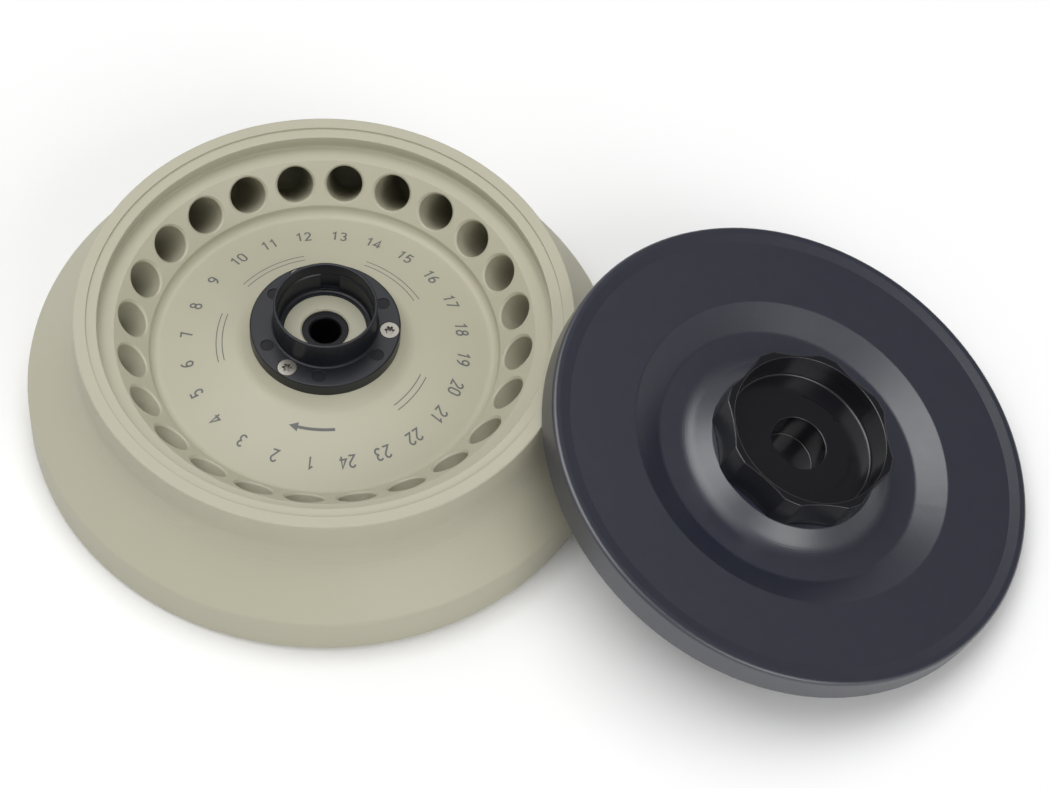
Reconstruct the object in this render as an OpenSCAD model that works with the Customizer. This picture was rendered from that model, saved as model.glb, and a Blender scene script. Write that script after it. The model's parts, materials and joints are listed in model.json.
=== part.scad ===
// Fixed angle rotor for 24 micro tubes, with its quick-lock lid taken off and leaning on the rim.
// Rotor axis along Z, base plane at z = 0. All lengths in millimetres, all angles in degrees.

/* [Rotor body] */
// Largest diameter, across the skirt
body_d = 179.2; // [176:1:200]
// Diameter of the rim that the lid closes over
rim_d = 149; // [146:0.5:152]
// Height of the lid ledge above the base
ledge_z = 43; // [42:0.5:50]
// Step up from the lid ledge to the outer ring of the rim
rim_raise = 0.7; // [0.3:0.1:1.5]
// Diameter of that step
rim_step_d = 141.4; // [139:0.2:144]
// Height of the upright wall of the rim, down from its top
rim_wall_h = 15; // [13:0.5:18]
// Radius of the cove between rim and flank
cove_r = 12; // [6:0.5:16]
// Height of the crease between flank and skirt
crease_z = 14.1; // [13:0.5:18]
// Rounding of the crease
crease_r = 2.5; // [1:0.5:4]
// Chamfer along the bottom edge of the skirt
skirt_chamfer = 1.8; // [0.5:0.1:2.5]

/* [Bowl] */
// Diameter of the bowl's mouth
mouth_d = 134.8; // [133:0.5:137]
// Height of the mouth's lip before the neck widens
mouth_lip_h = 1.8; // [1:0.1:3]
// Depth of the undercut below that lip
neck_undercut = 0.8; // [0.3:0.1:1.5]
// Depth of the inner ledge below the lid ledge
inner_ledge_depth = 5.3; // [4:0.1:7]
// Outer diameter of the band that carries the tube mouths
band_d = 125.3; // [123:0.5:128]
// Width of that band, measured on its slope
band_w = 14.1; // [13.2:0.1:15]
// Slope of the dish floor, rising towards the hub
floor_slope = 15; // [10:0.5:18]
// Depth of the dish floor below the lid ledge, where it meets the band
floor_depth = 19; // [17.5:0.5:20]
// Rounding between dish floor and band
floor_r = 2.5; // [1:0.5:4]
// Diameter of the raised pad under the lock ring
pad_d = 45; // [44:0.5:48]
// Depth of the pad below the lid ledge
pad_depth = 8.9; // [8:0.1:10]
// Diameter of the boss on the pad that centres the lock ring
boss_d = 24.8; // [22:0.1:25]
// Height of that boss
boss_h = 2.1; // [1:0.1:2.2]
// Width of the slope at the foot of the pad
pad_run = 3.2; // [2:0.1:5]
// Rounding between that slope and the dish floor
pad_r = 6; // [2:0.5:8]

/* [Tube bores] */
// Number of tube bores
tube_count = 24; // [12:1:24]
// Bore diameter, for 1.5 and 2 ml tubes
tube_d = 11.2; // [10.8:0.1:11.6]
// Bore depth along its axis, to the round end
tube_depth = 38; // [34:0.5:38.5]
// Angle of the bores from the rotor axis
tube_angle = 45; // [44:0.5:46]
// Edge break at each tube mouth
tube_edge = 0.45; // [0.2:0.05:0.8]
// Turn of the whole bore pattern and hub about the axis
pattern_phase = 0.8; // [0:0.1:15]

/* [Underside] */
// Inner diameter of the ring that the rotor stands on
foot_d = 144; // [140:1:146]
// Wall left below the tube bores
bore_wall = 4; // [3:0.5:5]
// Thickness of the web below the dish floor
web_t = 5; // [4:0.5:6]
// Diameter of the drive hub
hub_d = 44; // [40:1:50]
// Diameter of the seat for the motor shaft
seat_d = 20; // [16:0.5:22]
// Length of that seat
seat_l = 12; // [10:0.5:14]
// Width of the slot for the drive pin
slot_w = 3.6; // [3:0.1:4]
// Depth of the slot for the drive pin
slot_h = 3.5; // [2.5:0.1:4]

/* [Drive bush] */
// Outer diameter of the bush
bush_d = 14; // [12:0.5:15]
// Bore of the bush
bush_bore_d = 8.9; // [8:0.1:10]
// How far the bush stays below the top of the boss
bush_sink = 0.7; // [0.1:0.1:1]
// Chamfer at the hole in the boss and at the bush's bore
bush_chamfer = 0.5; // [0.3:0.1:0.9]

/* [Lock ring] */
// Flange diameter
flange_d = 45; // [44:0.5:46]
// Flange thickness
flange_t = 4.5; // [4:0.1:5.5]
// Outer diameter of the collar
collar_d = 31; // [30.6:0.1:31.2]
// Height of the collar above the flange
collar_h = 9.9; // [9:0.1:10]
// Collar bore above the catch edge
collar_bore_d = 29.1; // [28.9:0.1:29.2]
// Collar bore below the catch edge
guide_bore_d = 28.2; // [28:0.1:28.4]
// Depth of the catch edge below the collar's top
catch_depth = 4.7; // [4:0.1:6]
// Angle that each catch pocket spans
pocket_angle = 23; // [20:0.5:26]
// Diameter across the catch pockets
pocket_d = 30.4; // [30:0.1:30.5]
// Height of the pockets' floor above the pad
pocket_floor_h = 3.1; // [2.8:0.1:4]
// Number of catch pockets, and of noses on the lock sleeve
catch_count = 3; // [2:1:3]
// Diameter of the round ejector marks on the flange
mark_d = 4; // [2:0.5:4.5]
// Depth of the ejector marks
mark_depth = 0.25; // [0.1:0.05:0.4]
// Pitch circle radius of the ejector marks
mark_pcr = 18.8; // [18.4:0.1:19.4]

/* [Hub screws] */
// Pitch circle diameter of the hub screws
screw_pcd = 38.4; // [38:0.1:38.8]
// Head diameter
screw_head_d = 5.7; // [5:0.1:5.8]
// Thread diameter
screw_d = 3; // [2.5:0.1:3.2]
// Length under the head's top
screw_l = 11; // [8:0.5:12]
// Size across the six-lobe socket
socket_d = 3; // [2.2:0.1:3.2]
// Depth of the socket
socket_h = 1.2; // [0.8:0.1:1.4]

/* [Lid] */
// Diameter over the top edge
lid_d = 152.8; // [152.4:0.1:158]
// Extra radius at the foot of the skirt
skirt_flare = 0.2; // [0:0.05:0.5]
// Height of the skirt, from the top face down
skirt_h = 8.45; // [8:0.1:12]
// Clearance between the skirt and the rotor's rim
skirt_clear = 0.4; // [0.2:0.05:0.6]
// Wall thickness of the lid
lid_t = 3; // [2.5:0.1:3.2]
// Inner diameter of the ramp that leads up to the rim bead
ramp_d = 141.8; // [139:0.5:144]
// Width of that ramp
ramp_w = 3.2; // [2:0.1:3.5]
// Height of the rim bead above the top face
bead_h = 0.7; // [0.3:0.1:1.2]
// Rounding of the bead's outer edge
bead_r = 1.2; // [0.5:0.1:1.4]
// Outer diameter of the pressed-in ring
dish_d = 100.8; // [98:0.5:104]
// Inner diameter of the slope down into it
dish_floor_d = 83; // [80:0.5:86]
// Depth of the pressed-in ring
dish_depth = 3.95; // [3:0.05:4.2]
// Diameter at the foot of the centre boss
boss_foot_d = 65; // [63:0.5:68]
// Diameter at the top of the centre boss
boss_top_d = 53; // [52:0.5:56]
// Rounding of the lid's soft edges
lid_soft_r = 3; // [1:0.5:4]
// Rounding at the foot of the centre boss
boss_foot_r = 8; // [2:0.5:9]

/* [Lid seal] */
// Inner diameter of the spigot ring below the lid
spigot_in_d = 127; // [125:0.5:128]
// Clearance between the spigot and the bowl's mouth
spigot_clear = 0.4; // [0.3:0.05:0.8]
// Depth of the spigot below the top face
spigot_h = 8; // [7.5:0.1:8.2]
// Thickness of the lid's sealing ring
seal_cs = 2.6; // [2:0.1:3]
// Thickness of the sealing ring round the knob's sleeve
shaft_seal_cs = 1.8; // [1.2:0.1:1.9]

/* [Knob] */
// Diameter over the knob's lobes
knob_d = 53.3; // [52.5:0.1:53.8]
// Number of lobes
lobe_count = 8; // [6:1:10]
// Radius at the bottom of the flutes
flute_bottom_r = 24.9; // [24.8:0.05:25.4]
// Angle that each flute spans at the lobes
flute_angle = 33.5; // [25:0.5:34]
// Height of the knob's top above the lid's top face
knob_top_h = 12.1; // [11:0.1:14]
// Height of the recess floor above the lid's top face
knob_floor_h = 3.35; // [3.2:0.05:5]
// Thickness of the recess floor
knob_floor_t = 1.2; // [1:0.1:1.3]
// Diameter of the recess at its top edge
recess_top_d = 48.4; // [47.5:0.1:48.6]
// Diameter of the recess at its floor
recess_floor_d = 46.6; // [45:0.1:47]
// Centre hole in the recess floor
knob_hole_d = 17.4; // [16:0.1:18]
// Depth of the flat in that hole
hole_flat = 1; // [0.5:0.1:1.4]
// Outer diameter of the sleeve that turns in the lid
shaft_d = 35.8; // [35:0.1:37]
// Wall thickness of that sleeve
shaft_t = 1.9; // [1.5:0.1:2]
// Thickness of the ring clip that holds the knob in the lid
clip_t = 1.2; // [1:0.1:1.4]
// Turn of the knob about its axis when open
knob_phase = 42; // [0:1:44]

/* [Lock sleeve] */
// Outer diameter of the sleeve inside the collar
sleeve_d = 26.6; // [26:0.1:26.8]
// Diameter over the catch noses at rest
nose_d = 28; // [27.4:0.1:28]
// Height of the noses
nose_h = 3; // [2:0.1:3.2]
// Angle that each nose spans
nose_angle = 18; // [14:0.5:20]
// Length of the sprung fingers that carry the noses
finger_l = 8.5; // [7:0.1:9]
// Width of the slots beside the fingers
finger_slot = 1.2; // [0.8:0.1:1.5]
// Wall thickness of the knob's inner spigot
spindle_t = 1.7; // [1.4:0.1:1.8]
// Thickness of the ring clip that holds the sleeve
sleeve_clip_t = 1; // [0.8:0.1:1.2]

/* [Lid leaning on the rotor] */
// Half angle between the two places where the skirt can meet the rim, seen from the lid's axis
lean_angle = 16.9; // [14:0.1:20]
// Direction from the rotor axis to the lid's centre
lid_bearing = -9.07; // [-60:0.01:60]
// Turn of the lid's slope away from that direction
lid_skew = 2.2; // [-3:0.05:3]
// Seat gap between lid and rim
seat_gap = 0.3; // [0.1:0.05:0.5]

/* [Hidden] */
$fn = 96;
eps = 0.01;
cut = 1;              // how far a cutting solid runs past the face it opens
run_gap = 0.05;       // radial running gap of sealing rings on turning parts
part_gap = 0.3;       // axial gap between lid and knob
slip = 0.1;           // radial gap between the knob's sleeve and the lid
edge_r = 0.3;         // small edge breaks
arc_steps = 6;        // straight steps in a rounded corner, 2 on small edges

// colours
stone = [0.79, 0.78, 0.70];
black = [0.12, 0.12, 0.13];
gloss = [0.07, 0.07, 0.08];
steel = [0.74, 0.72, 0.68];
rubber = [0.16, 0.16, 0.17];

// rotor body
body_r = body_d / 2;
rim_r = rim_d / 2;
rim_top_z = ledge_z + rim_raise;
inner_ledge_z = ledge_z - inner_ledge_depth;
band_out_r = band_d / 2;
band_in_r = band_out_r - band_w * cos(tube_angle);
band_in_z = inner_ledge_z - band_w * sin(tube_angle);
flank_top_z = crease_z + (body_r - rim_r) / tan(tube_angle);
mouth_r = mouth_d / 2;
pad_z = ledge_z - pad_depth;
floor_out_r = band_in_r - 0.5;
function floor_z(r) = ledge_z - floor_depth + (floor_out_r - r) * tan(floor_slope);

// tube bores
tube_r = tube_d / 2;
tube_mouth_r = (band_out_r + band_in_r) / 2;
tube_mouth_z = (inner_ledge_z + band_in_z) / 2;

// underside: a cone that keeps the wall below the bores, and a ceiling that keeps the web
under_wall = tube_r + bore_wall;
under_r0 = tube_mouth_r - under_wall * cos(tube_angle);
under_z0 = tube_mouth_z - under_wall * sin(tube_angle);
foot_r = foot_d / 2;
function under_z(r) = under_z0 - (r - under_r0) / tan(tube_angle);
ceiling_r = (under_z0 + under_r0 / tan(tube_angle) - (floor_z(0) - web_t))
            / (1 / tan(tube_angle) - tan(floor_slope));
hub_r = hub_d / 2;
seat_r = seat_d / 2;
bush_r = bush_d / 2;
boss_z = pad_z + boss_h;
bush_top_z = boss_z - bush_sink;
bush_seat_z = seat_l + (seat_r - bush_r);

// lock ring
flange_r = flange_d / 2;
flange_top_z = pad_z + flange_t;
collar_r = collar_d / 2;
collar_top_z = flange_top_z + collar_h;
catch_z = collar_top_z - catch_depth;
pocket_mid = 90;
ring_bore_r = boss_d / 2 + 0.1;
shelf_z = boss_z + part_gap;
screw_pcr = screw_pcd / 2;

// lid, in its own frame: origin on its axis at the flat top face
lid_r = lid_d / 2;
skirt_r = lid_r + skirt_flare;
skirt_in_r = rim_r + skirt_clear;
shaft_r = shaft_d / 2;
shaft_in_r = shaft_r - shaft_t;
shaft_hole_r = shaft_r + slip;
spigot_r = mouth_r - spigot_clear;
spigot_in_r = spigot_in_d / 2;
seal_mid_r = spigot_r - seal_cs / 2 + spigot_clear / 2;
seal_mid_h = -(lid_t + spigot_h) / 2 - 0.2;
shaft_seal_h = -lid_t / 2;
clip_top_h = -lid_t - part_gap;
shaft_end_h = clip_top_h - clip_t - 0.8;

// lid closed on the rotor: its plate sits on the raised ring of the rim
closed_top_z = rim_top_z + lid_t;
spindle_r = knob_hole_d / 2 + spindle_t;
floor_under_h = knob_floor_h - knob_floor_t;
spring_t = 0.6;
sleeve_top_h = floor_under_h - spring_t;
sleeve_end_h = shelf_z + part_gap - closed_top_z;
nose_top_h = catch_z - part_gap - closed_top_z;
sleeve_in_r = spindle_r + 0.2;
sleeve_step_h = sleeve_end_h + 3.5;
spindle_end_h = sleeve_step_h - sleeve_clip_t - 1;

// lid leaning on the rim: one skirt edge on the base plane, the other on the rim
chord = skirt_in_r * cos(lean_angle);
half_chord = skirt_in_r * sin(lean_angle);
lid_tilt = asin((rim_top_z + seat_gap) / (skirt_r + chord));
reach = chord * cos(lid_tilt);
reach_b = reach * cos(lid_skew) + half_chord * sin(abs(lid_skew));
lid_distance = reach_b + sqrt(reach_b * reach_b - reach * reach - half_chord * half_chord + rim_r * rim_r);

// One rounded corner at b between a and c, as points on an arc of radius r
function corner(a, b, c, r) =
    let (u = (a - b) / norm(a - b),
         v = (c - b) / norm(c - b),
         half = acos(u * v) / 2,
         mid = b + (u + v) / norm(u + v) * r / sin(half),
         p = b + u * r / tan(half) - mid,
         q = b + v * r / tan(half) - mid,
         start = atan2(p[1], p[0]),
         turn = (atan2(q[1], q[0]) - start + 900) % 360 - 180,
         n = r < 1 ? 2 : arc_steps)
    [for (i = [0:n]) mid + r * [cos(start + turn * i / n), sin(start + turn * i / n)]];

// Closed outline from corners [x, y, rounding]
function xy(p) = [p[0], p[1]];
function outline(path) =
    [for (i = [0:len(path) - 1])
        let (n = len(path), a = path[(i + n - 1) % n], b = path[i], c = path[(i + 1) % n])
        each (b[2] > 0 ? corner(xy(a), xy(b), xy(c), b[2]) : [xy(b)])];

module turned(path) {
    rotate_extrude() polygon(outline(path));
}

module around(count, phase = 0) {
    for (i = [0:count - 1]) {
        rotate([0, 0, phase + i * 360 / count]) children();
    }
}

// Sector of a ring, centred on the X axis
module ring_sector(r0, r1, h, angle) {
    rotate([0, 0, -angle / 2]) {
        rotate_extrude(angle = angle) translate([r0, 0]) square([r1 - r0, h]);
    }
}

// ---- rotor ----

module tube_bore() {
    translate([tube_mouth_r, 0, tube_mouth_z]) rotate([0, 180 - tube_angle, 0]) {
        translate([0, 0, -cut * 3]) cylinder(r = tube_r, h = tube_depth - tube_r + cut * 3);
        translate([0, 0, tube_depth - tube_r]) sphere(r = tube_r);
        translate([0, 0, -cut]) cylinder(r1 = tube_r + tube_edge + cut, r2 = tube_r, h = tube_edge + cut);
    }
}

module body_blank() {
    turned([
        [0, 0, 0],
        [body_r - skirt_chamfer, 0, 0],
        [body_r, skirt_chamfer, edge_r],
        [body_r, crease_z, crease_r],
        [rim_r, flank_top_z, cove_r],
        [rim_r, rim_top_z, 0.5],
        [rim_step_d / 2, rim_top_z, 0],
        [rim_step_d / 2, ledge_z, 0],
        [mouth_r, ledge_z, edge_r],
        [mouth_r, ledge_z - mouth_lip_h, 0],
        [mouth_r + neck_undercut, ledge_z - mouth_lip_h - neck_undercut, 0],
        [mouth_r + neck_undercut, inner_ledge_z, 0.6],
        [band_out_r, inner_ledge_z, 0],
        [band_in_r, band_in_z, 0.6],
        [floor_out_r, floor_z(floor_out_r), floor_r],
        [pad_d / 2 + pad_run, floor_z(pad_d / 2 + pad_run), pad_r],
        [pad_d / 2, pad_z, edge_r],
        [boss_d / 2, pad_z, 0],
        [boss_d / 2, boss_z, 0.2],
        [0, boss_z, 0]
    ]);
}

module underside_cut() {
    turned([
        [hub_r, -cut, 0],
        [foot_r, -cut, 0],
        [foot_r, under_z(foot_r), 1.5],
        [ceiling_r, under_z(ceiling_r), 3],
        [hub_r, floor_z(hub_r) - web_t, 3]
    ]);
}

module drive_cut() {
    turned([
        [0, -cut, 0],
        [seat_r, -cut, 0],
        [seat_r, seat_l, 0],
        [bush_r, bush_seat_z, 0],
        [bush_r, boss_z - bush_chamfer, 0],
        [bush_r + bush_chamfer + cut, boss_z + cut, 0],
        [0, boss_z + cut, 0]
    ]);
    translate([-hub_r - cut, -slot_w / 2, -cut]) cube([hub_d + 2 * cut, slot_w, slot_h + cut]);
}

module rotor_body() {
    color(stone) difference() {
        body_blank();
        around(tube_count, pattern_phase) tube_bore();
        underside_cut();
        drive_cut();
        around(3, pattern_phase) {
            translate([screw_pcr, 0, flange_top_z - screw_l - 1]) cylinder(d = screw_d, h = screw_l + 2, $fn = 32);
        }
    }
}

module drive_bush() {
    color(black) turned([
        [bush_bore_d / 2, bush_seat_z, 0.4],
        [bush_r, bush_seat_z, 0.4],
        [bush_r, bush_top_z, 0.2],
        [bush_bore_d / 2 + bush_chamfer, bush_top_z, 0],
        [bush_bore_d / 2, bush_top_z - bush_chamfer, 0]
    ]);
}

// Pockets in the collar's bore, undercut behind the catch edge, each with a shallow relief below its floor
module catch_pockets() {
    in_r = guide_bore_d / 2 - cut;
    floor_z = pad_z + pocket_floor_h;
    around(catch_count, pocket_mid + pattern_phase) rotate([0, 0, -pocket_angle / 2]) {
        rotate_extrude(angle = pocket_angle) polygon([
            [in_r, floor_z],
            [pocket_d / 2, floor_z],
            [pocket_d / 2, catch_z],
            [collar_bore_d / 2 - 0.1, catch_z],
            [collar_bore_d / 2 - 0.1, catch_z + 0.3],
            [in_r, catch_z + 0.3]
        ]);
    }
    around(catch_count, pocket_mid + pattern_phase) rotate([0, 0, -pocket_angle / 2 + 1]) {
        rotate_extrude(angle = pocket_angle - 2) {
            translate([in_r - 0.2, shelf_z + 0.2]) square([cut + 0.6, floor_z - shelf_z - 0.5]);
        }
    }
}

module lock_ring() {
    color(black) difference() {
        turned([
            [ring_bore_r, pad_z, 0],
            [flange_r, pad_z, 0],
            [flange_r, flange_top_z, 0.4],
            [collar_r, flange_top_z, 0.6],
            [collar_r, collar_top_z, edge_r],
            [collar_bore_d / 2, collar_top_z, edge_r],
            [collar_bore_d / 2, catch_z + 0.5, 0],
            [guide_bore_d / 2, catch_z, 0],
            [guide_bore_d / 2, shelf_z, 0.8],
            [ring_bore_r, shelf_z, 0]
        ]);
        catch_pockets();
        around(3, pattern_phase) screw_seat();
        around(6, pattern_phase + 30) {
            translate([mark_pcr, 0, flange_top_z - mark_depth]) cylinder(d = mark_d, h = 1, $fn = 32);
        }
    }
}

head_h = (screw_head_d - screw_d) / 2;

head_sink = 0.1;      // screw heads below the flange's top
head_rim = 0.2;       // upright edge of the heads

module screw_seat() {
    cone_top = flange_top_z - head_sink - head_rim - 0.05;
    translate([screw_pcr, 0, 0]) {
        translate([0, 0, cone_top]) cylinder(d = screw_head_d + 0.2, h = 1 + flange_top_z - cone_top, $fn = 48);
        translate([0, 0, cone_top - head_h]) {
            cylinder(d1 = screw_d, d2 = screw_head_d + 0.2, h = head_h + eps, $fn = 48);
        }
        translate([0, 0, pad_z - cut]) cylinder(d = screw_d, h = flange_t, $fn = 32);
    }
}

module hub_screw(i) {
    color(steel) rotate([0, 0, pattern_phase + i * 120]) translate([screw_pcr, 0, flange_top_z - head_sink]) {
        difference() {
            rotate_extrude($fn = 48) polygon([
                [0, 0],
                [screw_head_d / 2, 0],
                [screw_head_d / 2, -head_rim],
                [screw_d / 2 - 0.1, -head_h - head_rim],
                [screw_d / 2 - 0.1, -screw_l + 0.5],
                [screw_d / 2 - 0.6, -screw_l],
                [0, -screw_l]
            ]);
            translate([0, 0, -socket_h]) linear_extrude(socket_h + cut) {
                circle(d = socket_d * 0.66, $fn = 24);
                for (k = [0:5]) {
                    rotate([0, 0, k * 60]) translate([socket_d * 0.37, 0]) circle(d = socket_d * 0.26, $fn = 16);
                }
            }
        }
    }
}

// ---- lid, built level in its own frame ----

module lid_place() {
    rotate([0, 0, lid_bearing]) translate([lid_distance, 0, skirt_r * sin(lid_tilt)]) {
        rotate([0, lid_tilt, lid_skew]) translate([0, 0, skirt_h]) children();
    }
}

module lid_shell() {
    groove_r = seal_mid_r - seal_cs / 2 - 0.05;
    dish_under = -dish_depth - lid_t;
    color(black) lid_place() difference() {
        turned([
            [shaft_hole_r, 0, 0],
            [boss_top_d / 2, 0, 1],
            [boss_foot_d / 2, -dish_depth, boss_foot_r],
            [dish_floor_d / 2, -dish_depth, lid_soft_r],
            [dish_d / 2, 0, lid_soft_r / 2],
            [ramp_d / 2, 0, 0.6],
            [ramp_d / 2 + ramp_w, bead_h, 0.6],
            [lid_r, bead_h, bead_r],
            [skirt_r, -skirt_h, 0.4],
            [skirt_in_r, -skirt_h, 0.3],
            [skirt_in_r, -lid_t, 1],
            [spigot_r, -lid_t, 0.4],
            [spigot_r, -spigot_h, 0.5],
            [spigot_in_r, -spigot_h, 0.5],
            [spigot_in_r, -lid_t, 1],
            [dish_d / 2 + lid_t, -lid_t, 1],
            [dish_floor_d / 2 + lid_t, dish_under, 1],
            [boss_foot_d / 2 - lid_t, dish_under, 1],
            [boss_top_d / 2 - lid_t, -lid_t, 1],
            [shaft_hole_r, -lid_t, 0]
        ]);
        translate([0, 0, seal_mid_h - seal_cs / 2 - 0.1]) difference() {
            cylinder(r = spigot_r + cut, h = seal_cs + 0.2);
            translate([0, 0, -cut]) cylinder(r = groove_r, h = seal_cs + 3 * cut);
        }
        translate([0, 0, shaft_seal_h - shaft_seal_cs / 2]) {
            cylinder(r = shaft_r + run_gap + shaft_seal_cs, h = shaft_seal_cs);
        }
    }
}

module o_ring(mid_r, cs) {
    rotate_extrude() translate([mid_r, 0]) circle(d = cs, $fn = 32);
}

module lid_seal() {
    color(rubber) lid_place() translate([0, 0, seal_mid_h]) o_ring(seal_mid_r, seal_cs);
}

module shaft_seal() {
    color(rubber) lid_place() translate([0, 0, shaft_seal_h]) {
        o_ring(shaft_r + run_gap + shaft_seal_cs / 2, shaft_seal_cs);
    }
}

module knob_outline() {
    half = flute_angle / 2;
    tip_r = knob_d / 2;
    half_w = tip_r * sin(half);
    sag = tip_r * cos(half) - flute_bottom_r;
    flute_r = (half_w * half_w + sag * sag) / (2 * sag);
    difference() {
        circle(r = tip_r);
        for (i = [0:lobe_count - 1]) {
            rotate([0, 0, (i + 0.5) * 360 / lobe_count]) translate([flute_bottom_r + flute_r, 0]) circle(r = flute_r);
        }
    }
}

module lock_knob() {
    wall_in_r = recess_floor_d / 2;
    color(gloss) lid_place() rotate([0, 0, knob_phase]) difference() {
        union() {
            difference() {
                translate([0, 0, part_gap]) linear_extrude(knob_top_h - part_gap) knob_outline();
                turned([
                    [0, knob_floor_h, 0],
                    [wall_in_r, knob_floor_h, 0.6],
                    [recess_top_d / 2, knob_top_h, 0],
                    [recess_top_d / 2, knob_top_h + cut, 0],
                    [0, knob_top_h + cut, 0]
                ]);
                translate([0, 0, part_gap - cut]) cylinder(r = wall_in_r - 0.6, h = floor_under_h - part_gap + cut);
            }
            turned([
                [shaft_in_r, shaft_end_h, 0],
                [shaft_r, shaft_end_h, 0.3],
                [shaft_r, floor_under_h + eps, 0],
                [shaft_in_r, floor_under_h + eps, 0]
            ]);
            turned([
                [0, spindle_end_h, 0],
                [spindle_r, spindle_end_h, 0.3],
                [spindle_r, floor_under_h + eps, 0],
                [0, floor_under_h + eps, 0]
            ]);
        }
        intersection() {
            translate([0, 0, spindle_end_h + spindle_t]) cylinder(d = knob_hole_d, h = knob_top_h - spindle_end_h);
            rotate([0, 0, 243 - knob_phase]) translate([-knob_hole_d, -knob_hole_d, spindle_end_h]) {
                cube([knob_hole_d * 1.5 - hole_flat, knob_hole_d * 2, knob_top_h - spindle_end_h]);
            }
        }
        translate([0, 0, clip_top_h - clip_t]) difference() {
            cylinder(r = shaft_r + cut, h = clip_t);
            translate([0, 0, -cut]) cylinder(r = shaft_r - shaft_t / 2, h = clip_t + 2 * cut);
        }
        translate([0, 0, sleeve_step_h - sleeve_clip_t - 0.1]) difference() {
            cylinder(r = spindle_r + cut, h = sleeve_clip_t);
            translate([0, 0, -cut]) cylinder(r = spindle_r - spindle_t / 2, h = sleeve_clip_t + 2 * cut);
        }
    }
}

// Split ring clip: a flat ring with a gap and two ear holes
module ring_clip(in_r, out_r, t) {
    gap_angle = 24;
    rotate([0, 0, gap_angle / 2]) rotate_extrude(angle = 360 - gap_angle) {
        translate([in_r, 0]) square([out_r - in_r, t]);
    }
}

module knob_clip() {
    color(steel) lid_place() translate([0, 0, clip_top_h - clip_t + 0.05]) {
        ring_clip(shaft_r - shaft_t / 2 + 0.05, shaft_r + 2.2, clip_t - 0.1);
    }
}

module wave_spring() {
    color(steel) lid_place() translate([0, 0, sleeve_top_h + 0.05]) difference() {
        cylinder(d = sleeve_d - 1, h = spring_t - 0.1);
        translate([0, 0, -cut]) cylinder(r = sleeve_in_r + 0.6, h = spring_t + 2 * cut);
    }
}

module lock_sleeve() {
    color(black) lid_place() difference() {
        union() {
            turned([
                [sleeve_in_r, sleeve_top_h, 0],
                [sleeve_d / 2, sleeve_top_h, 0.4],
                [sleeve_d / 2, sleeve_end_h, 0.4],
                [sleeve_in_r + 1.7, sleeve_end_h, 0],
                [sleeve_in_r + 1.7, sleeve_step_h, 0],
                [sleeve_in_r, sleeve_step_h, 0]
            ]);
            around(catch_count, pocket_mid - nose_angle / 2) {
                rotate_extrude(angle = nose_angle) polygon([
                    [sleeve_d / 2 - 0.5, nose_top_h],
                    [nose_d / 2, nose_top_h],
                    [nose_d / 2, nose_top_h - nose_h * 0.6],
                    [sleeve_d / 2 - 0.5, nose_top_h - nose_h]
                ]);
            }
        }
        for (side = [-1, 1]) {
            around(catch_count, pocket_mid + side * (nose_angle / 2 + 4)) {
                translate([sleeve_in_r - cut, -finger_slot / 2, sleeve_end_h - cut]) {
                    cube([sleeve_d / 2 - sleeve_in_r + 2 * cut, finger_slot, finger_l + cut]);
                }
            }
        }
    }
}

module sleeve_clip() {
    color(steel) lid_place() translate([0, 0, sleeve_step_h - sleeve_clip_t - 0.05]) {
        ring_clip(spindle_r - spindle_t / 2 + 0.05, spindle_r + 1.5, sleeve_clip_t - 0.1);
    }
}

rotor_body();
drive_bush();
lock_ring();
hub_screw(0);  // hub_screw_1
hub_screw(1);  // hub_screw_2
hub_screw(2);  // hub_screw_3
lid_shell();
lid_seal();
shaft_seal();
lock_knob();
knob_clip();
wave_spring();
lock_sleeve();
sleeve_clip();
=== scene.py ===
import bpy
import json
import math
from mathutils import Matrix, Vector


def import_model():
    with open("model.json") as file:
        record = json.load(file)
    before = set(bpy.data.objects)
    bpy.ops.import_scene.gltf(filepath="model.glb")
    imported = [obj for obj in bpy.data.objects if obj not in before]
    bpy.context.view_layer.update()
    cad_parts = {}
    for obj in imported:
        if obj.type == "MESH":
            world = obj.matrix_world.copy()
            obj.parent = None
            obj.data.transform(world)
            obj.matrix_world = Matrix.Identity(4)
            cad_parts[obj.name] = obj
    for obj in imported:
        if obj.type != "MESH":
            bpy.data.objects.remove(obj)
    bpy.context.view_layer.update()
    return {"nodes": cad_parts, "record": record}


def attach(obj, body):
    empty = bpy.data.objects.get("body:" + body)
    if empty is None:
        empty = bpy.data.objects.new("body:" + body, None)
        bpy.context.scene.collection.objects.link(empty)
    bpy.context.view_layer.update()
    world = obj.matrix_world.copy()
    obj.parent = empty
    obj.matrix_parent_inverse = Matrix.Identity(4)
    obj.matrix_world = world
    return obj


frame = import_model()

MM = 0.001

# ---- sizes of the object that the looks follow, in millimetres ----
LEDGE_Z = 43.0                   # lid ledge above the base plane
FLOOR_Z0 = LEDGE_Z - 19.0        # dish floor where it meets the band of tube mouths
FLOOR_R0 = 52.18                 # radius of that place
FLOOR_SLOPE = 15.0               # degrees, rising to the hub
PHASE = 0.8                      # turn of the tube pattern, degrees
TUBES = 24
PAD_Z = LEDGE_Z - 8.9            # pad that the lock ring lies on
FLANGE_TOP_Z = PAD_Z + 4.5       # top of the lock ring's flange
EJECTOR_R = 18.8                 # pitch radius of the flange's round ejector marks
EJECTOR_D = 4.0
EJECTOR_DEPTH = 0.25
EJECTORS = 6
KNOB_FLOOR_H = 3.35              # knob's recess floor above the lid's top face

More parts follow.
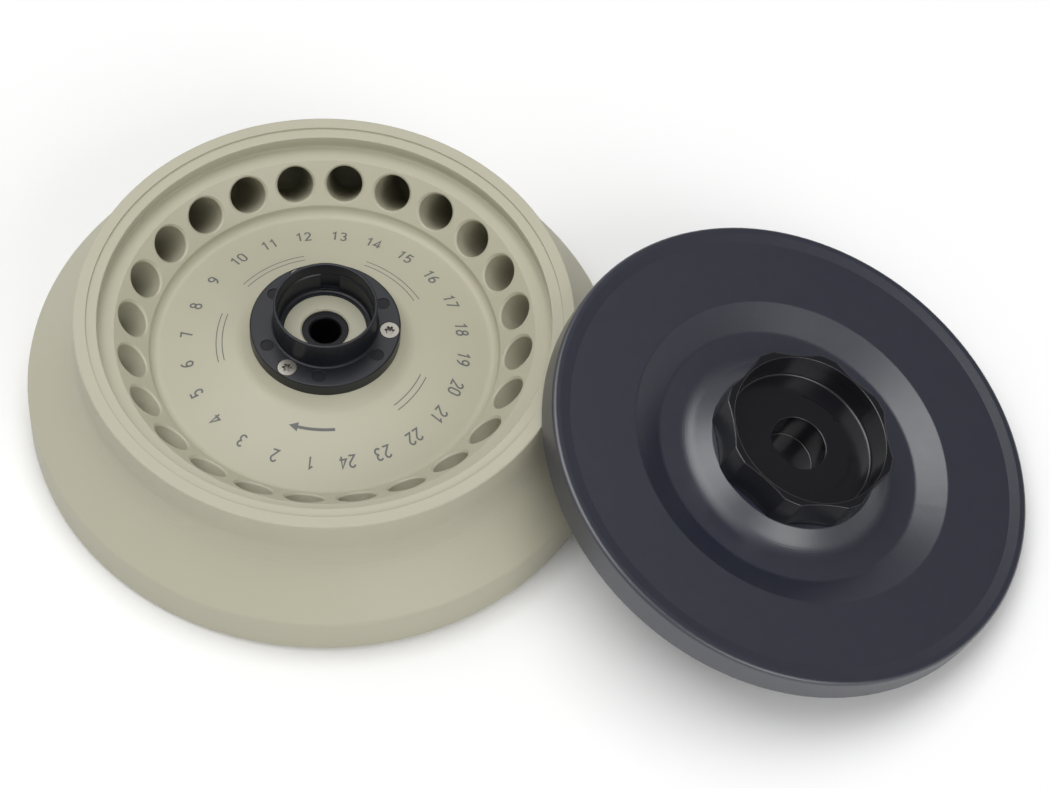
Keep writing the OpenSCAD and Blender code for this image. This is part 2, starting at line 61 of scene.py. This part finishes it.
# ---- print and raised marks, in millimetres and degrees ----
NUMBER_R = 41.7                  # pitch radius of the position numbers
NUMBER_H = 4.05                  # height of their figures
STROKE = 0.56                    # line width of the figures
FAR_NUMBER = 13                  # the number farthest from the camera
MARK_R = 31.7                    # radius of the plain marks nearer the hub
RULE_GAP = 1.8                   # between the two lines of a plain mark
RULE_W = 0.28                    # width of each line
RULE_SPANS = ((108, 146), (36, 74), (168, 200), (-42, -16))
FLOOR_ARROW = (0.9, 282, 262, 5)         # width, start, end, length of the head
KNOB_ARROW_R = 17.0
KNOB_ARROWS = ((0.8, 95, 55, 7), (0.8, -35, 5, 7))
KNOB_ARROW_LIFT = 0.12           # the knob's arrows stand this far off its recess floor
LIFT = 0.03                      # print stands this far off the surface

# ---- camera: fitted to the circles of the rotor, for a picture of 1050 x 788 ----
PHOTO_W = 1050            # pixels
FOCAL_PX = 3254.53        # pixels
CAM_ELEV = 0.9717595      # radians below the horizon
CAM_ROLL = -0.0989179     # radians
CAM_SHIFT = (-60.380, 23.740, 984.529)   # rotor's ledge centre in camera axes, in units of the fit
UNIT = 0.98               # millimetres in a unit of the fit
SENSOR_W = 36.0


def add_camera():
    """The camera of the photo, placed from the rotor's ledge centre."""
    forward = Vector((0.0, math.cos(CAM_ELEV), -math.sin(CAM_ELEV)))
    right0 = Vector((1.0, 0.0, 0.0))
    up0 = right0.cross(forward)
    right = math.cos(CAM_ROLL) * right0 - math.sin(CAM_ROLL) * up0
    up = math.sin(CAM_ROLL) * right0 + math.cos(CAM_ROLL) * up0
    tx, ty, dist = CAM_SHIFT
    place = -(tx * right + ty * up + dist * forward) * UNIT + Vector((0, 0, LEDGE_Z))
    data = bpy.data.cameras.new("camera")
    data.sensor_width = SENSOR_W
    data.lens = SENSOR_W * FOCAL_PX / PHOTO_W
    data.clip_start = 0.05
    data.clip_end = 20.0
    cam = bpy.data.objects.new("camera", data)
    turn = Matrix((right, up, -forward)).transposed()
    cam.matrix_world = Matrix.Translation(place * MM) @ turn.to_4x4()
    bpy.context.collection.objects.link(cam)
    bpy.context.scene.camera = cam


# ---- materials ----
BUMP_HEIGHT = 0.05        # height of the grain at full strength
PATCH_MM = 4.0            # size of the patches in which roughness varies
BEVEL_SAMPLES = 8


def noise(nt, coords, scale_mm, detail):
    tex = nt.nodes.new("ShaderNodeTexNoise")
    tex.inputs["Scale"].default_value = 1000.0 / scale_mm
    tex.inputs["Detail"].default_value = detail
    nt.links.new(coords.outputs["Object"], tex.inputs["Vector"])
    return tex


def material(name, color, rough=0.5, metal=0.0, specular=0.5, coat=0.0, coat_rough=0.15,
             grain=0.0, grain_mm=0.6, mottle=0.0, mottle_mm=14.0, rough_vary=0.0, edge_mm=0.0):
    """A finish with fine grain, a mottled colour, patches of roughness and rounded edges, each optional."""
    m = bpy.data.materials.new(name)
    m.use_nodes = True
    nt = m.node_tree
    b = nt.nodes["Principled BSDF"]
    b.inputs["Base Color"].default_value = (*color, 1.0)
    b.inputs["Roughness"].default_value = rough
    b.inputs["Metallic"].default_value = metal
    b.inputs["Specular IOR Level"].default_value = specular
    b.inputs["Coat Weight"].default_value = coat
    b.inputs["Coat Roughness"].default_value = coat_rough
    coords = nt.nodes.new("ShaderNodeTexCoord")
    if mottle > 0:
        cloud = noise(nt, coords, mottle_mm, 4.0)
        mix = nt.nodes.new("ShaderNodeMix")
        mix.data_type = "RGBA"
        mix.inputs["A"].default_value = (*[c * (1 - mottle) for c in color], 1.0)
        mix.inputs["B"].default_value = (*[min(1.0, c * (1 + mottle)) for c in color], 1.0)
        nt.links.new(cloud.outputs["Fac"], mix.inputs["Factor"])
        nt.links.new(mix.outputs["Result"], b.inputs["Base Color"])
    if rough_vary > 0:
        patch = noise(nt, coords, PATCH_MM, 5.0)
        span = nt.nodes.new("ShaderNodeMapRange")
        span.inputs["To Min"].default_value = rough - rough_vary
        span.inputs["To Max"].default_value = rough + rough_vary
        nt.links.new(patch.outputs["Fac"], span.inputs["Value"])
        nt.links.new(span.outputs["Result"], b.inputs["Roughness"])
    normal = None
    if edge_mm > 0:
        edge = nt.nodes.new("ShaderNodeBevel")
        edge.samples = BEVEL_SAMPLES
        edge.inputs["Radius"].default_value = edge_mm * MM
        normal = edge.outputs["Normal"]
        nt.links.new(normal, b.inputs["Normal"])
    if grain > 0:
        fine = noise(nt, coords, grain_mm, 2.0)
        bump = nt.nodes.new("ShaderNodeBump")
        bump.inputs["Strength"].default_value = grain
        bump.inputs["Distance"].default_value = BUMP_HEIGHT * MM
        nt.links.new(fine.outputs["Fac"], bump.inputs["Height"])
        if normal:
            nt.links.new(normal, bump.inputs["Normal"])
        nt.links.new(bump.outputs["Normal"], b.inputs["Normal"])
    return m


body_paint = material("body_paint", (0.475, 0.457, 0.350), rough=0.46, specular=0.45,
                      grain=0.12, grain_mm=0.5, mottle=0.02, edge_mm=0.3)
hub_black = material("hub_black", (0.010, 0.011, 0.016), rough=0.36, specular=0.4,
                     grain=0.08, grain_mm=0.5, rough_vary=0.04, edge_mm=0.25)
bush_black = material("bush_black", (0.007, 0.007, 0.009), rough=0.30, specular=0.16,
                      grain=0.05, grain_mm=0.4, edge_mm=0.35)
screw_steel = material("screw_steel", (0.30, 0.285, 0.255), rough=0.34, metal=1.0,
                       grain=0.10, grain_mm=0.3, rough_vary=0.06, edge_mm=0.12)
lid_black = material("lid_black", (0.0110, 0.0130, 0.0275), rough=0.38, specular=1.0,
                     coat=0.6, coat_rough=0.32, grain=0.6, grain_mm=0.7, rough_vary=0.04,
                     mottle=0.10, mottle_mm=3.0)
knob_black = material("knob_black", (0.004, 0.004, 0.007), rough=0.20, specular=0.9,
                      grain=0.08, grain_mm=1.2, rough_vary=0.04, edge_mm=0.7)
rubber = material("rubber", (0.012, 0.012, 0.012), rough=0.7, grain=0.1)
spring_steel = material("spring_steel", (0.55, 0.55, 0.55), rough=0.3, metal=1.0, grain=0.05)
ink = material("ink", (0.15, 0.155, 0.15), rough=0.6, specular=0.3, mottle=0.05, mottle_mm=2.0)
mould_mark = material("mould_mark", (0.006, 0.006, 0.008), rough=0.12, specular=0.7, rough_vary=0.02)
ejector_black = material("ejector_black", (0.006, 0.006, 0.008), rough=0.50, specular=0.30,
                         grain=0.3, grain_mm=0.3)

FINISH = {
    "rotor_body": body_paint,
    "drive_bush": bush_black,
    "lock_ring": hub_black,
    "hub_screw_1": screw_steel,
    "hub_screw_2": screw_steel,
    "hub_screw_3": screw_steel,
    "lid_shell": lid_black,
    "lid_seal": rubber,
    "shaft_seal": rubber,
    "lock_knob": knob_black,
    "knob_clip": spring_steel,
    "wave_spring": spring_steel,
    "lock_sleeve": hub_black,
    "sleeve_clip": spring_steel,
}
for name, finish in FINISH.items():
    mesh = frame["nodes"][name].data
    mesh.materials.clear()
    mesh.materials.append(finish)


# ---- printed numbers and marks on the dish floor ----
def floor_z(r):
    """Height of the sloped dish floor at radius r."""
    return FLOOR_Z0 + (FLOOR_R0 - r) * math.tan(math.radians(FLOOR_SLOPE))


def on_floor(x, y):
    """A place of the print, in metres, from its plan in millimetres."""
    return Vector((x, y, floor_z(math.hypot(x, y)) + LIFT)) * MM


def mesh_object(name, verts, faces, mat, body):
    """A piece of its own that rides on a body and has one material slot."""
    mesh = bpy.data.meshes.new(name)
    mesh.from_pydata([tuple(v) for v in verts], [], faces)
    mesh.materials.append(mat)
    obj = bpy.data.objects.new(name, mesh)
    bpy.context.collection.objects.link(obj)
    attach(obj, body)
    return obj


def bow(cx, cy, rx, ry, start, end):
    """Points along part of an ellipse, angles in degrees."""
    steps = max(4, round(abs(end - start) / 18))
    return [(cx + rx * math.cos(math.radians(start + (end - start) * i / steps)),
             cy + ry * math.sin(math.radians(start + (end - start) * i / steps))) for i in range(steps + 1)]


# centre lines of the figures, in a cell of height 1
SIX = [bow(0.24, -0.06, 0.44, 0.52, 106, 186), bow(0, -0.20, 0.21, 0.24, 180, -180)]
FIGURES = {
    "0": [bow(0, 0.20, 0.21, 0.24, 0, 180) + bow(0, -0.20, 0.21, 0.24, 180, 360) + [(0.21, 0.20)]],
    "1": [[(-0.16, 0.26), (0.05, 0.44), (0.05, -0.44)]],
    "2": [bow(0, 0.21, 0.20, 0.23, 165, -35) + [(-0.22, -0.44), (0.22, -0.44)]],
    "3": [bow(0, 0.23, 0.19, 0.21, 150, -90) + bow(0, -0.21, 0.21, 0.23, 90, -150)],
    "4": [[(0.10, -0.44), (0.10, 0.44), (-0.24, -0.20), (0.26, -0.20)]],
    "5": [[(0.19, 0.44), (-0.16, 0.44), (-0.19, 0.03)] + bow(0, -0.16, 0.21, 0.28, 130, -145)],
    "6": SIX,
    "7": [[(-0.21, 0.44), (0.21, 0.44), (-0.07, -0.44)]],
    "8": [bow(0, 0.23, 0.17, 0.21, 0, 360), bow(0, -0.20, 0.21, 0.24, 0, 360)],
    "9": [[(-x, -y) for x, y in line] for line in SIX],
}
CELL = 0.66               # advance from one figure to the next, in heights


def ribbon(line, width, verts, faces):
    """A flat band along a line of points, with mitred corners."""
    closed = math.dist(line[0], line[-1]) < 1e-6
    if closed:
        line = line[:-1]
    n = len(line)
    base = len(verts)
    for i, (x, y) in enumerate(line):
        ax, ay = line[i - 1] if closed or i > 0 else line[i]
        bx, by = line[(i + 1) % n] if closed or i < n - 1 else line[i]
        before_way = Vector((x - ax, y - ay))
        after_way = Vector((bx - x, by - y))
        if before_way.length < 1e-9:
            before_way = after_way
        if after_way.length < 1e-9:
            after_way = before_way
        before_way, after_way = before_way.normalized(), after_way.normalized()
        along = (before_way + after_way).normalized()
        across = Vector((-along.y, along.x)) * (width / 2) / max(0.5, along.dot(after_way))
        verts += [(x - across.x, y - across.y), (x + across.x, y + across.y)]
    for i in range(n if closed else n - 1):
        k, j = base + 2 * i, base + 2 * ((i + 1) % n)
        faces.append((k, j, j + 1, k + 1))


def numbers():
    """The position numbers, one at each tube mouth, with their feet towards the hub."""
    verts, faces = [], []
    for n in range(1, TUBES + 1):
        az = math.radians(90 + PHASE - 360 / TUBES * (n - FAR_NUMBER))
        out = (math.cos(az), math.sin(az))
        side = (math.sin(az), -math.cos(az))
        text = str(n)
        for i, figure in enumerate(text):
            shift = (i - (len(text) - 1) / 2) * CELL * NUMBER_H
            for line in FIGURES[figure]:
                flat, faces_at = [], []
                ribbon([(shift + x * NUMBER_H, y * NUMBER_H) for x, y in line], STROKE, flat, faces_at)
                start = len(verts)
                for x, y in flat:
                    r = NUMBER_R + y
                    verts.append(on_floor(out[0] * r + side[0] * x, out[1] * r + side[1] * x))
                faces += [tuple(start + k for k in f) for f in faces_at]
    mesh_object("position_numbers", verts, faces, ink, "rotor")


ARC_STEPS = 24
HEAD_W = 3.2              # width of an arrow's head, in widths of its line


def arc(r, width, start, end, place, verts, faces):
    """A flat band along an arc round the hub or knob."""
    base = len(verts)
    for i in range(ARC_STEPS + 1):
        a = math.radians(start + (end - start) * i / ARC_STEPS)
        for rr in (r - width / 2, r + width / 2):
            verts.append(place(rr * math.cos(a), rr * math.sin(a)))
    for i in range(ARC_STEPS):
        k = base + 2 * i
        faces.append((k, k + 1, k + 3, k + 2))


def arrow(r, width, start, end, head, place, verts, faces):
    """An arc with a head at its end, pointing the way from start to end."""
    arc(r, width, start, end, place, verts, faces)
    turn = 1 if end > start else -1
    base = len(verts)
    tip = math.radians(end + turn * head)
    root = math.radians(end)
    verts.append(place(r * math.cos(tip), r * math.sin(tip)))
    for rr in (r - width * HEAD_W / 2, r + width * HEAD_W / 2):
        verts.append(place(rr * math.cos(root), rr * math.sin(root)))
    faces.append((base, base + 1, base + 2) if turn > 0 else (base, base + 2, base + 1))


def floor_marks():
    """A plain arrow and plain double lines, where the real rotor has its maker's print."""
    verts, faces = [], []
    arrow(MARK_R, *FLOOR_ARROW, on_floor, verts, faces)
    for start, end in RULE_SPANS:
        for r in (MARK_R - RULE_GAP / 2, MARK_R + RULE_GAP / 2):
            arc(r, RULE_W, start, end, on_floor, verts, faces)
    mesh_object("plain_marks", verts, faces, ink, "rotor")


# ---- marks on the knob's recess floor, in the lid's own frame: the joint's axis is its Z ----
knob_joint = frame["record"]["behaviour"]["joints"][0]
lid_axis = Vector(knob_joint["axis"]).normalized()
lid_frame = (Matrix.Translation(Vector(knob_joint["pos_m"]))
             @ Matrix.Rotation(math.atan2(lid_axis.y, lid_axis.x), 4, "Z")
             @ Matrix.Rotation(math.acos(lid_axis.z), 4, "Y"))


def on_knob(x, y):
    return lid_frame @ (Vector((x, y, KNOB_FLOOR_H + KNOB_ARROW_LIFT)) * MM)


def knob_marks():
    """Two plain arrows, where the real knob has raised words."""
    verts, faces = [], []
    for shape in KNOB_ARROWS:
        arrow(KNOB_ARROW_R, *shape, on_knob, verts, faces)
    mesh_object("knob_arrows", verts, faces, mould_mark, "knob")


def ejector_marks():
    """Dark floors of the round marks that the mould's ejector pins leave on the flange."""
    verts, faces = [], []
    steps = 32
    r = EJECTOR_D / 2 - 0.02
    for k in range(EJECTORS):
        turn = math.radians(PHASE + 360 / EJECTORS * (k + 0.5))
        x0, y0 = EJECTOR_R * math.cos(turn), EJECTOR_R * math.sin(turn)
        base = len(verts)
        for i in range(steps):
            a = 2 * math.pi * i / steps
            verts.append(Vector((x0 + r * math.cos(a), y0 + r * math.sin(a),
                                 FLANGE_TOP_Z - EJECTOR_DEPTH + LIFT)) * MM)
        faces.append(tuple(range(base, base + steps)))
    mesh_object("ejector_marks", verts, faces, ejector_black, "rotor")


numbers()
floor_marks()
ejector_marks()
knob_marks()


# ---- floor, light and camera; lengths in metres ----
WHITE = (1.0, 1.0, 1.0, 1.0)
FLOOR_HALF = 3.0
FLOOR_DROP = 0.0002           # the floor lies this far under the object
FLOOR_FADE = (0.30, 0.80)     # distances between which the floor passes into the white surround


def constant(node, **values):
    for socket, value in values.items():
        node.inputs[socket.replace("_", " ")].default_value = value
    return node


def smooth_range(nt, source, from_min, from_max, to_min=0.0, to_max=1.0):
    """The source's value, passed softly from one range to another."""
    span = nt.nodes.new("ShaderNodeMapRange")
    span.interpolation_type = "SMOOTHSTEP"
    constant(span, From_Min=from_min, From_Max=from_max, To_Min=to_min, To_Max=to_max)
    nt.links.new(source, span.inputs["Value"])
    return span.outputs["Result"]


def blend(nt, factor, first, second):
    mix = nt.nodes.new("ShaderNodeMixShader")
    nt.links.new(factor, mix.inputs["Fac"])
    nt.links.new(first, mix.inputs[1])
    nt.links.new(second, mix.inputs[2])
    return mix.outputs["Shader"]


def camera_ray(nt):
    return nt.nodes.new("ShaderNodeLightPath").outputs["Is Camera Ray"]


def floor_material():
    """Pale for the light, white for the camera, and plain white surround further out."""
    m = bpy.data.materials.new("floor_white")
    m.use_nodes = True
    nt = m.node_tree
    pale = nt.nodes["Principled BSDF"]
    constant(pale, Base_Color=(0.90, 0.90, 0.90, 1.0), Roughness=0.9, Specular_IOR_Level=0.1)
    near = constant(nt.nodes.new("ShaderNodeBsdfDiffuse"), Color=WHITE)
    far = constant(nt.nodes.new("ShaderNodeEmission"), Color=WHITE, Strength=1.0)
    away = nt.nodes.new("ShaderNodeVectorMath")
    away.operation = "LENGTH"
    nt.links.new(nt.nodes.new("ShaderNodeTexCoord").outputs["Object"], away.inputs[0])
    fade = smooth_range(nt, away.outputs["Value"], *FLOOR_FADE)
    seen = blend(nt, fade, near.outputs["BSDF"], far.outputs["Emission"])
    surface = blend(nt, camera_ray(nt), pale.outputs["BSDF"], seen)
    nt.links.new(surface, nt.nodes["Material Output"].inputs["Surface"])
    return m


def stage():
    """A pale floor that keeps the shadow and has no edge to the camera."""
    mesh = bpy.data.meshes.new("floor")
    corners = [(-1, -1), (1, -1), (1, 1), (-1, 1)]
    mesh.from_pydata([(x * FLOOR_HALF, y * FLOOR_HALF, -FLOOR_DROP) for x, y in corners], [], [(0, 1, 2, 3)])
    mesh.materials.append(floor_material())
    floor = bpy.data.objects.new("floor", mesh)
    bpy.context.collection.objects.link(floor)


def area_light(name, place, target, size, power):
    data = bpy.data.lights.new(name, "AREA")
    data.shape = "RECTANGLE"
    data.size, data.size_y = size
    data.energy = power
    lamp = bpy.data.objects.new(name, data)
    lamp.location = place
    lamp.rotation_mode = "QUATERNION"
    lamp.rotation_quaternion = (Vector(target) - Vector(place)).to_track_quat("-Z", "Y")
    bpy.context.collection.objects.link(lamp)


def world(strength, dark_way, dark_strength, dark_from=0.55, dark_full=0.97):
    """An even pale surround that is darker round one direction, as a studio is above its far side.

    dark_from and dark_full are cosines of the angle from that direction."""
    w = bpy.data.worlds.new("world")
    w.use_nodes = True
    nt = w.node_tree
    light = constant(nt.nodes["Background"], Color=WHITE)
    dot = nt.nodes.new("ShaderNodeVectorMath")
    dot.operation = "DOT_PRODUCT"
    dot.inputs[1].default_value = Vector(dark_way).normalized()
    nt.links.new(nt.nodes.new("ShaderNodeTexCoord").outputs["Generated"], dot.inputs[0])
    fade = smooth_range(nt, dot.outputs["Value"], dark_from, dark_full, strength, dark_strength)
    nt.links.new(fade, light.inputs["Strength"])
    shown = constant(nt.nodes.new("ShaderNodeBackground"), Color=WHITE, Strength=1.0)
    surface = blend(nt, camera_ray(nt), light.outputs["Background"], shown.outputs["Background"])
    nt.links.new(surface, nt.nodes["World Output"].inputs["Surface"])
    bpy.context.scene.world = w


stage()
world(strength=0.50, dark_way=(0.48, 0.51, 0.72), dark_strength=0.14)
area_light("top", place=(-0.2, 0.20, 1.4), target=(0.05, 0, 0), size=(1.5, 1.2), power=13.5)
area_light("front", place=(0.85, -1.0, 0.9), target=(0.05, 0, 0), size=(1.0, 0.8), power=6.5)
add_camera()
bpy.context.scene.view_settings.view_transform = "Standard"
